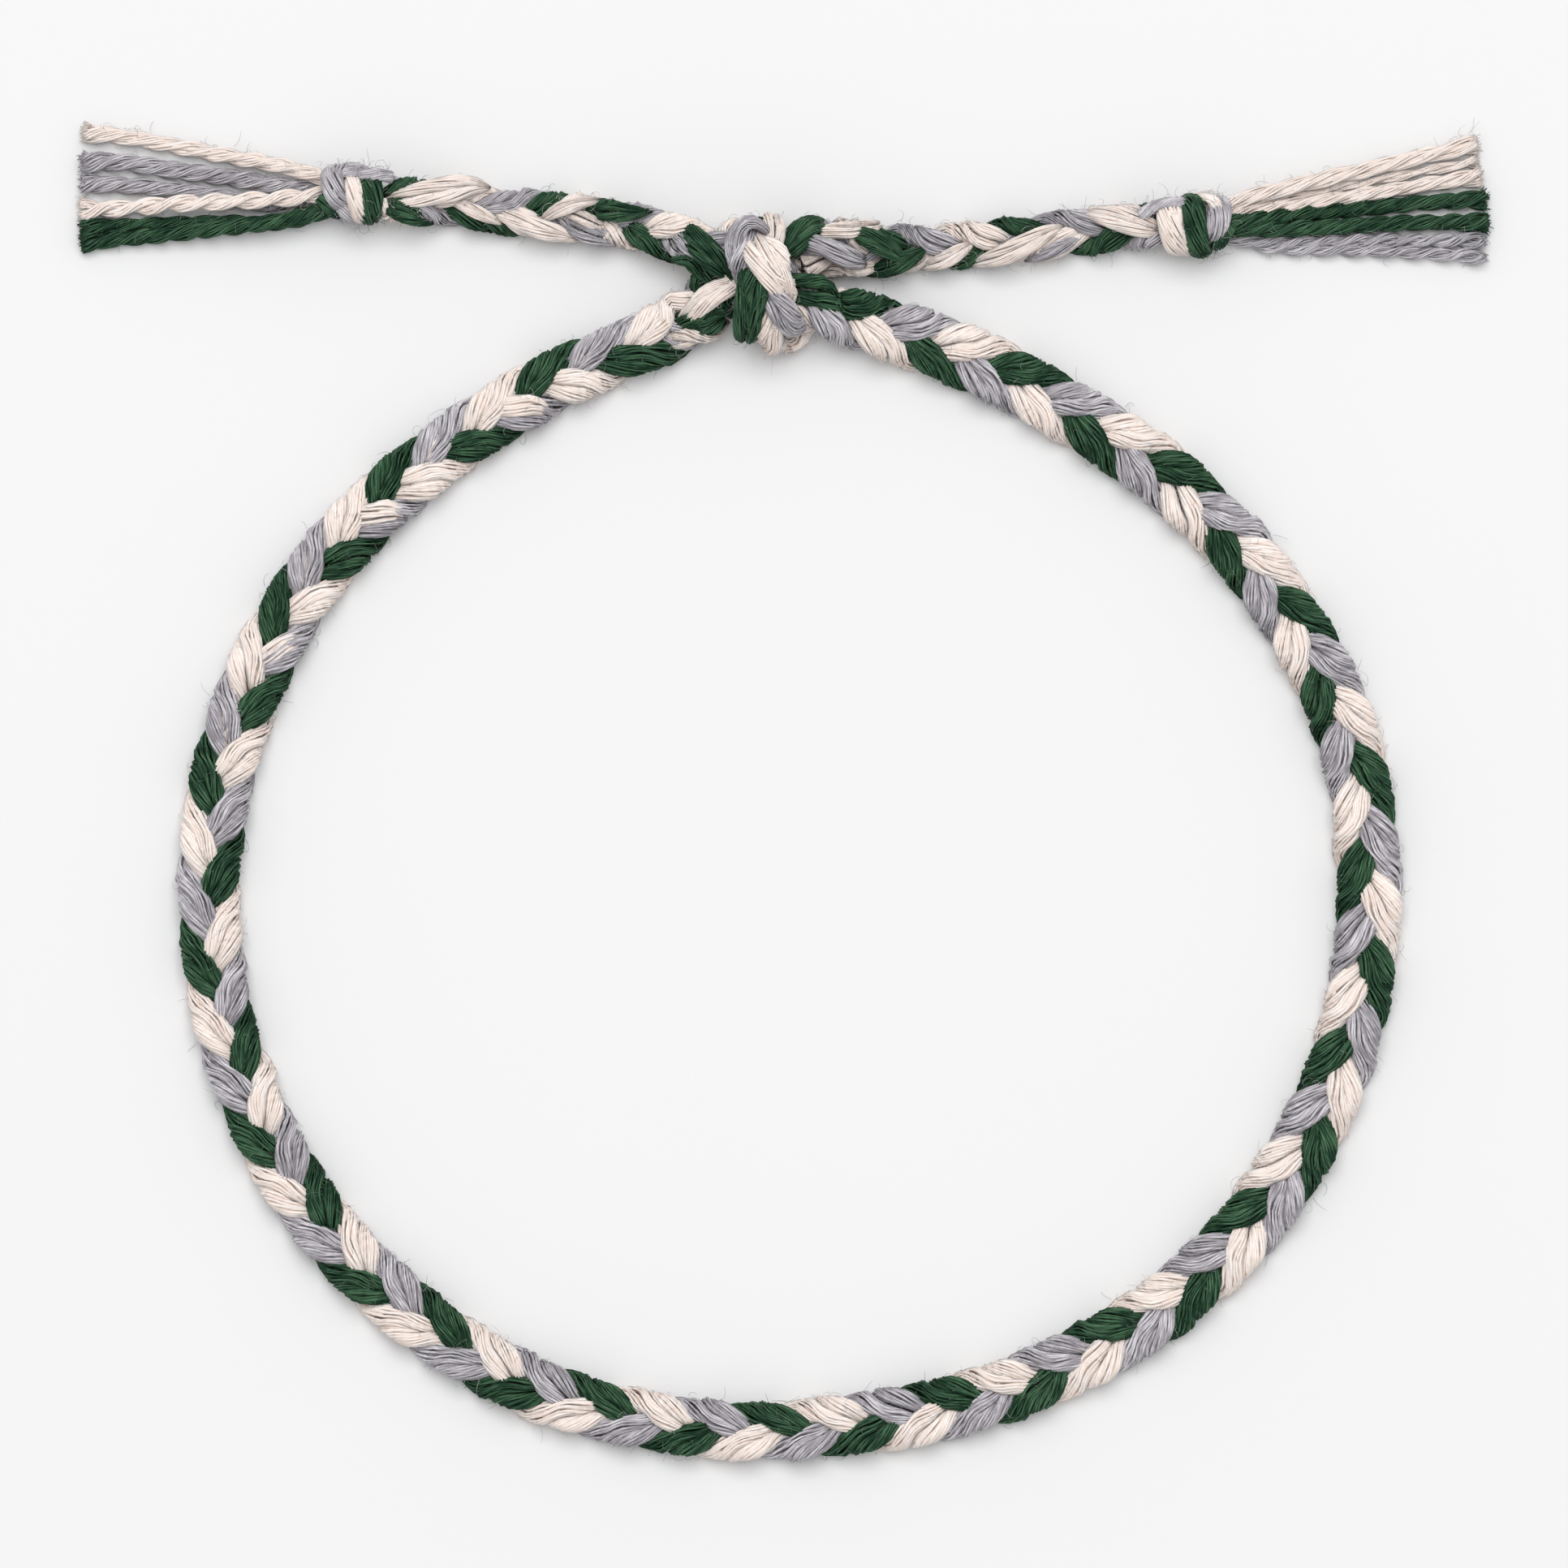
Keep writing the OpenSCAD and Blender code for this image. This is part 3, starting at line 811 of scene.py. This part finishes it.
# Each cotton: lit fibres, shaded fibres, the painted shade in the lines between yarns, how full its strand is, and
# how it shines
cottons = {
    "green": {
        "light": (0.088, 0.190, 0.104, 1),
        "dark": (0.006, 0.031, 0.015, 1),
        "paintedShadeColour": (0.002, 0.007, 0.004, 1),
        "fullness": 0.96,
        "shine": 0.12,
        "sheen": 0.0,
    },
    "grey": {
        "light": (0.79, 0.76, 0.80, 1),
        "dark": (0.31, 0.29, 0.32, 1),
        "paintedShadeColour": (0.12, 0.11, 0.125, 1),
        "fullness": 1.0,
        "shine": 0.35,
        "sheen": 0.1,
    },
    "ecru": {
        "light": (1.0, 0.94, 0.905, 1),
        "dark": (0.92, 0.80, 0.73, 1),
        "paintedShadeColour": (0.66, 0.53, 0.45, 1),
        "fullness": 1.05,
        "shine": 0.35,
        "sheen": 0.1,
    },
}
fuzzColours = {
    "green": {"light": (0.42, 0.55, 0.46, 1), "dark": (0.16, 0.27, 0.19, 1)},
    "grey": {"light": (0.85, 0.84, 0.88, 1), "dark": (0.52, 0.51, 0.54, 1)},
    "ecru": {"light": (1.0, 0.96, 0.93, 1), "dark": (0.80, 0.75, 0.71, 1)},
}

# What all cottons share. Plies cross a yarn at a slant, fibres lie along it, and patches pass over many yarns. Ply
# crests get a painted highlight, and the grooves between plies and the inward sides of yarns get painted shade
weave = {
    "plyTurns": 12.566,
    "plySlant": 3.4,
    "plyShare": 0.5,
    "fibreStretch": (7.0, 0.8, 1.0),
    "fibreGrain": {"Scale": 2.2, "Detail": 4.0, "Roughness": 0.7},
    "fibreShare": 2.2,
    "patchGrain": {"Scale": 600.0, "Detail": 3.0},
    "patchShare": 1.2,
    "toneShare": 0.22,
    "shade": 0.95,
    "grooveShadePower": 3,
    "grooveShadeShare": 0.45,
    "cleftShadeStart": 0.78,
    "cleftShadeShare": 2.2,
    "fibreHeight": 0.5,
    "plyHeight": 0.7,
    "bump": {"Strength": 0.7, "Distance": 0.00008},
    "roughness": 0.55,
    "fibreRoughness": 0.3,
    "sheenRoughness": 0.5,
}


# depth is how strongly the painted shade between yarns shows
def cotton(name, look, depth=1.0):
    w = weave
    s = Shader(name)
    uv = s.node("ShaderNodeUVMap", {"uv_map": "threadUv"})
    x = s.node("ShaderNodeSeparateXYZ", {}, {"Vector": uv}, 0)
    y = s.node("ShaderNodeSeparateXYZ", {}, {"Vector": uv}, 1)
    slant = x * w["plyTurns"] + y * w["plySlant"]
    plies = s.node("ShaderNodeMath", {"operation": "SINE"}, {0: slant}) * 0.5 + 0.5
    stretched = s.node("ShaderNodeMapping", {}, {"Vector": uv, "Scale": w["fibreStretch"]})
    fibres = s.node("ShaderNodeTexNoise", {"noise_dimensions": "2D"}, {"Vector": stretched, **w["fibreGrain"]})
    place = s.node("ShaderNodeTexCoord", {}, {}, 3)
    patches = s.node("ShaderNodeTexNoise", {}, {"Vector": place, **w["patchGrain"]})
    tone = s.node("ShaderNodeAttribute", {"attribute_name": "plyTone"}, {}, 2)
    outOfShade = s.node("ShaderNodeAttribute", {"attribute_name": "plyOutOfShade"}, {}, 2)
    light = fibres * w["fibreShare"] - w["shade"] + tone * w["toneShare"]
    # plies paints a highlight on the crest of each ply; patches are the cotton's own uneven tone
    light = light + (patches - 0.5) * w["patchShare"] + plies * w["plyShare"]
    lit = s.mix(s.clamp(light), look["dark"], look["light"])
    # Painted shade in the grooves between plies and on the inward sides of yarns
    grooveShade = (1 - plies) ** w["grooveShadePower"] * w["grooveShadeShare"]
    paintedShadeAmount = s.clamp(((w["cleftShadeStart"] - outOfShade) * w["cleftShadeShare"] + grooveShade) * depth)
    height = fibres * w["fibreHeight"] + plies * w["plyHeight"]
    return s.finish(
        # The lit colour, with painted shade mixed in at the clefts and grooves
        Base_Color=s.mix(paintedShadeAmount, lit, look["paintedShadeColour"]),
        Roughness=w["roughness"] + fibres * w["fibreRoughness"],
        Normal=s.node("ShaderNodeBump", {}, {"Height": height, **w["bump"]}),
        Specular_IOR_Level=look["shine"],
        Sheen_Weight=look["sheen"],
        Sheen_Roughness=w["sheenRoughness"],
    )


materials = {c: cotton(f"{c} cotton thread", look) for c, look in cottons.items()}
fuzzMaterials = {c: cotton(f"{c} cotton fibres", look | fuzzColours[c], 0.0) for c, look in cottons.items()}
strandNames = ("green", "grey", "ecru")
fuzz = {c: Yarn() for c in strandNames}

for colour, path in zip(strandNames, strandPaths()):
    yarn = Yarn()
    orbits = addBundle(yarn, cottons[colour]["fullness"], *path)
    obj = yarn.build(f"{colour}StrandThreads", materials[colour], f"{colour}_cotton")
    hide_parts(f"{colour}_strand")
    addHairs(fuzz[colour], orbits, "strand")
    if colour == "grey":
        yarn = Yarn()
        addHairs(fuzz["ecru"], addSpare(yarn, *path), "spare")
        yarn.build("ecruSpareThread", materials["ecru"], "ecru_cotton")
for colour in strandNames:
    yarn = Yarn()
    for place in turns:
        for width, points in turns[place][colour]:
            addHairs(fuzz[colour], addTurn(yarn, place, width, points), "turn")
    yarn.build(f"{colour}OverlyingTurns", materials[colour], f"{colour}_cotton")
print("braid threads made")

# Threads of the fringes from the knot to the cut end: colour, radius, plies, pitch, points
fringes = {
    "left": [
        ("ecru", 0.45, 3, 4.8, [
            (-23.9, 33.2, 1.8), (-25.2, 33.75, 1.8), (-27.6, 34.5, 0.9), (-30.3, 35.0, 0.6),
            (-34.0, 35.7, 0.55), (-36.3, 36.1, 0.5), (-38.3, 36.3, 0.5),
        ]),
        ("ecru", 0.50, 2, 3.8, [
            (-23.9, 33.0, 1.8), (-25.2, 32.85, 2.0), (-27.6, 32.65, 1.7), (-30.3, 32.5, 1.55),
            (-33.2, 32.4, 1.4), (-35.6, 32.2, 0.8), (-38.5, 32.1, 0.55),
        ]),
        ("grey", 0.50, 3, 4.2, [
            (-23.9, 33.0, 1.2), (-25.2, 33.1, 1.0), (-27.6, 33.4, 0.6), (-30.3, 33.85, 0.5),
            (-33.6, 34.3, 0.5), (-36.3, 34.7, 0.5), (-38.4, 34.7, 0.5),
        ]),
        ("grey", 0.47, 3, 4.4, [
            (-23.9, 32.8, 1.0), (-25.2, 32.7, 0.8), (-27.6, 32.35, 0.5), (-30.3, 32.7, 0.5),
            (-33.4, 33.2, 0.5), (-36.3, 33.45, 0.5), (-38.4, 33.5, 0.5),
        ]),
        ("green", 0.42, 3, 4.4, [
            (-23.9, 32.6, 1.4), (-25.2, 31.9, 1.4), (-27.6, 31.35, 0.7), (-30.3, 31.4, 0.5),
            (-34.0, 31.3, 0.5), (-36.3, 31.2, 0.5), (-38.45, 31.15, 0.5),
        ]),
        ("green", 0.46, 3, 4.2, [
            (-23.9, 32.6, 1.6), (-25.2, 32.05, 1.7), (-27.6, 31.45, 1.5), (-30.3, 31.1, 1.2),
            (-33.6, 30.75, 0.8), (-36.3, 30.5, 0.55), (-38.4, 30.3, 0.5),
        ]),
    ],
    "right": [
        ("ecru", 0.46, 3, 7.0, [
            (22.8, 31.6, 1.8), (24.4, 32.4, 1.7), (26.4, 33.0, 1.2), (28.2, 33.45, 0.9),
            (32.6, 34.45, 0.75), (35.3, 35.1, 0.6), (37.9, 35.65, 0.5),
        ]),
        ("ecru", 0.30, 2, 5.0, [
            (22.8, 31.6, 1.4), (24.4, 32.3, 1.1), (26.4, 32.6, 0.5), (28.2, 32.95, 0.35),
            (32.6, 33.75, 0.35), (35.3, 34.25, 0.35), (37.9, 34.7, 0.35),
        ]),
        ("ecru", 0.42, 3, 5.4, [
            (22.8, 31.5, 1.8), (24.4, 31.9, 1.5), (26.4, 32.2, 0.8), (28.2, 32.4, 0.5),
            (32.6, 33.05, 0.5), (35.3, 33.5, 0.5), (38.1, 33.9, 0.5),
        ]),
        ("green", 0.45, 3, 4.3, [
            (22.8, 31.2, 1.8), (24.4, 31.35, 1.9), (26.4, 31.6, 1.2), (28.2, 31.8, 0.6),
            (32.6, 32.25, 0.55), (35.3, 32.5, 0.5), (38.4, 32.65, 0.5),
        ]),
        ("green", 0.45, 3, 4.1, [
            (22.8, 31.2, 1.6), (24.4, 31.0, 1.7), (26.4, 31.0, 1.4), (28.2, 31.05, 1.0),
            (32.6, 31.3, 0.8), (35.3, 31.4, 0.6), (38.5, 31.4, 0.5),
        ]),
        ("grey", 0.42, 2, 3.0, [
            (22.8, 31.0, 1.0), (24.4, 30.7, 0.9), (26.4, 30.35, 0.7), (28.2, 30.3, 0.55),
            (32.6, 30.45, 0.5), (35.3, 30.4, 0.5), (38.3, 30.4, 0.5),
        ]),
        ("grey", 0.40, 2, 3.2, [
            (22.8, 31.0, 0.9), (24.4, 30.6, 0.7), (26.4, 30.1, 0.55), (28.2, 29.95, 0.5),
            (32.6, 29.85, 0.5), (35.3, 29.7, 0.5), (38.3, 29.5, 0.5),
        ]),
    ],
}

for end, threads in fringes.items():
    for colour in strandNames:
        yarn = Yarn()
        for threadColour, radius, plies, pitch, points in threads:
            if threadColour != colour:
                continue
            t = np.linspace(0, 1, rope["points"])
            frayed = np.clip((t - rope["frayStart"]) / rope["frayLength"], 0, 1)
            spread = 1 + rope["fray"] * frayed ** rope["frayPower"]
            orbits = addRope(yarn, curve(points, rope["points"]), radius, plies, pitch, spread)
            addHairs(fuzz[colour], orbits, "rope")
            addTuft(yarn, orbits)
        obj = yarn.build(f"{end}Fringe{colour.title()}Threads", materials[colour], f"{colour}_cotton")
        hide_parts(f"{end}_fringe_{colour}")
print("fringes made")

# Wraps of the end knots. Round the knot's axis 0 degrees is the far edge, 90 the top and 180 the near edge.
# centre is the axis's y and z. Each wrap: colour, half width, half depth, twist length, (degrees, x, orbit) ...
knots = {
    "left": {
        "centre": (32.93, 1.65),
        "wraps": [
            ("green", 0.60, 0.42, 9.0, [
                (-60, -22.9, 0.9), (0, -22.9, 0.85), (30, -22.78, 1.02), (60, -22.6, 1.2),
                (90, -22.48, 1.3), (120, -22.53, 1.34), (150, -22.6, 1.38), (185, -22.75, 1.32),
                (240, -22.9, 1.1),
            ]),
            ("ecru", 0.47, 0.40, 8.0, [
                (-30, -23.3, 0.75), (0, -23.4, 0.8), (30, -23.52, 0.98), (60, -23.54, 1.22),
                (90, -23.46, 1.38), (120, -23.33, 1.4), (150, -23.2, 1.38), (190, -23.1, 1.2),
                (240, -23.2, 0.9),
            ]),
            ("grey", 0.62, 0.40, 9.0, [
                (-60, -23.2, 1.2), (-20, -23.7, 1.25), (10, -24.2, 1.28), (40, -24.66, 1.3),
                (70, -24.62, 1.3), (100, -24.4, 1.22), (120, -24.1, 1.08), (140, -23.8, 0.9),
                (180, -23.3, 0.7),
            ]),
            ("grey", 0.45, 0.36, 7.0, [
                (115, -24.3, 0.9), (135, -24.0, 1.2), (155, -23.75, 1.35), (178, -23.35, 1.36),
                (215, -23.0, 1.1),
            ]),
            ("green", 0.42, 0.36, 7.0, [
                (100, -25.3, 0.8), (125, -24.95, 0.95), (150, -24.65, 1.05), (180, -24.35, 1.05),
                (220, -24.1, 0.9),
            ]),
            ("grey", 0.30, 0.28, 7.0, [
                (-50, -24.1, 1.0), (-20, -24.1, 1.3), (5, -23.8, 1.45), (20, -23.35, 1.48),
                (30, -22.9, 1.38), (40, -22.6, 1.15),
            ]),
            ("grey", 0.37, 0.30, 7.0, [
                (22, -24.2, 1.1), (36, -23.75, 1.36), (44, -23.2, 1.48), (47, -22.6, 1.48),
                (46, -22.0, 1.4), (42, -21.4, 1.15),
            ]),
            ("ecru", 0.20, 0.24, 6.0, [
                (110, -21.9, 0.9), (135, -21.8, 1.1), (165, -21.8, 1.15), (200, -21.8, 1.05),
                (230, -21.9, 0.9),
            ]),
        ],
    },
    "right": {
        "centre": (31.2, 1.65),
        "wraps": [
            ("ecru", 0.70, 0.40, 9.0, [
                (-60, 21.3, 0.95), (0, 21.12, 0.95), (35, 21.06, 1.1), (70, 21.05, 1.23),
                (100, 21.16, 1.28), (130, 21.36, 1.34), (165, 21.63, 1.38), (230, 22.0, 1.05),
            ]),
            ("green", 0.62, 0.44, 9.0, [
                (-60, 22.1, 1.2), (-10, 22.2, 1.3), (20, 22.25, 1.36), (60, 22.4, 1.36),
                (90, 22.45, 1.34), (120, 22.53, 1.36), (150, 22.65, 1.42), (190, 22.78, 1.36),
                (240, 22.8, 1.1),
            ]),
            ("grey", 0.64, 0.40, 9.0, [
                (-60, 23.1, 1.1), (-15, 23.5, 1.18), (15, 23.72, 1.26), (45, 23.8, 1.28),
                (75, 23.74, 1.26), (100, 23.52, 1.15), (118, 23.24, 0.98), (135, 23.0, 0.82),
                (180, 22.5, 0.7),
            ]),
            ("green", 0.42, 0.36, 7.0, [
                (95, 24.3, 0.75), (120, 24.05, 0.95), (145, 23.82, 1.08), (175, 23.6, 1.1),
                (230, 23.3, 0.9),
            ]),
            ("grey", 0.34, 0.30, 7.0, [
                (60, 19.4, 1.0), (49, 20.0, 1.3), (41, 20.6, 1.48), (36, 21.2, 1.5),
                (30, 21.8, 1.4), (20, 22.3, 1.15),
            ]),
            ("ecru", 0.33, 0.28, 6.0, [
                (-40, 22.6, 1.35), (-5, 22.7, 1.54), (15, 23.0, 1.6), (35, 23.45, 1.56),
                (55, 23.75, 1.32),
            ]),
        ],
    },
}

wrap = {
    "points": 60,
    "ringStep": 0.2,
    "yarnRadius": 0.13,
    "yarnsPerMm": 20,
}


def addWrap(yarn, centre, half, depth, pitch, rows):
    steps = wrap["points"]
    angle, x, orbit = curve(rows, steps).T
    a = np.radians(angle)
    out = np.stack([np.zeros(steps), np.cos(a), np.sin(a)], 1)
    line = out * orbit[:, None] + np.stack([x, np.full(steps, centre[0]), np.full(steps, centre[1])], 1)
    at, line, out = evenly(line, wrap["ringStep"], out)
    across, up = axes(line, out)
    size = np.ones(len(at))
    count = round(wrap["yarnsPerMm"] * (half + depth))
    turn = -2 * math.pi * at / pitch
    return addRing(yarn, at, line, across, up, half * size, depth * size, wrap["yarnRadius"] * size, count, turn)


for end, knot in knots.items():
    for colour in strandNames:
        yarn = Yarn()
        for wrapColour, half, depth, pitch, rows in knot["wraps"]:
            if wrapColour == colour:
                addHairs(fuzz[colour], addWrap(yarn, knot["centre"], half, depth, pitch, rows), "wrap")
        obj = yarn.build(f"{end}Knot{colour.title()}Wraps", materials[colour], f"{colour}_cotton")
        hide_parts(f"{end}_knot_{colour}_turn")
print("end knots made")

for colour, yarn in fuzz.items():
    yarn.build(f"{colour}LooseFibres", fuzzMaterials[colour], f"{colour}_cotton")
print("loose fibres made")

# Floor, light and camera, in metres
stage = {
    "floorSize": 1.2,
    "floorColours": ((0.765, 0.765, 0.77, 1), (0.775, 0.775, 0.775, 1)),
    "floorGrain": {"Scale": 30.0, "Detail": 3.0},
    "floorRoughness": 0.9,
    "windowPlace": (0.0, 0.45, 1.3),
    "windowSize": 0.9,
    "windowPower": 12.8,
    "roomLight": 0.64,
    "sensorWidth": 36,
    "cameraHeight": 0.9,
    "cameraClip": (0.01, 10),
    "frameWidth": 1932 / 22.5 * mm,  # the image's width, at its pixels in a millimetre
    "middle": (0.0, 0.00066),  # the camera looks straight down here
}
bpy.ops.mesh.primitive_plane_add(size=stage["floorSize"], location=(0, 0, 0))
floor = bpy.context.active_object
floor.name = "paleTable"
floorShader = Shader("pale table top")
place = floorShader.node("ShaderNodeTexCoord", {}, {}, 3)
grain = floorShader.node("ShaderNodeTexNoise", {}, {"Vector": place, **stage["floorGrain"]})
floorColour = floorShader.mix(grain, *stage["floorColours"])
floor.data.materials.append(floorShader.finish(Base_Color=floorColour, Roughness=stage["floorRoughness"]))
floor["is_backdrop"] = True


# A square soft light that points at the origin
def softLight(name, location, size, power):
    data = bpy.data.lights.new(name, "AREA")
    data.size, data.energy = size, power
    obj = bpy.data.objects.new(name, data)
    bpy.context.scene.collection.objects.link(obj)
    obj.location = location
    direction = Vector((0, 0, 0)) - Vector(location)
    obj.rotation_euler = direction.to_track_quat("-Z", "Y").to_euler()


bpy.context.scene.view_settings.view_transform = "Standard"
softLight("windowLight", stage["windowPlace"], stage["windowSize"], stage["windowPower"])
world = bpy.data.worlds.new("paleRoom")
world.use_nodes = True
background = world.node_tree.nodes["Background"]
background.inputs["Color"].default_value = (1, 1, 1, 1)
background.inputs["Strength"].default_value = stage["roomLight"]
bpy.context.scene.world = world

cameraData = bpy.data.cameras.new("topCamera")
cameraData.sensor_width = stage["sensorWidth"]
cameraData.lens = stage["sensorWidth"] * stage["cameraHeight"] / stage["frameWidth"]
cameraData.clip_start, cameraData.clip_end = stage["cameraClip"]
camera = bpy.data.objects.new("topCamera", cameraData)
bpy.context.scene.collection.objects.link(camera)
camera.location = (*stage["middle"], stage["cameraHeight"])
bpy.context.scene.camera = camera
print("stage made")

triangles = {}
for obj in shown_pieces():
    obj.data.calc_loop_triangles()
    triangles[obj.name] = len(obj.data.loop_triangles)
print("triangles", sum(triangles.values()), "and in the largest piece", max(triangles.values()))
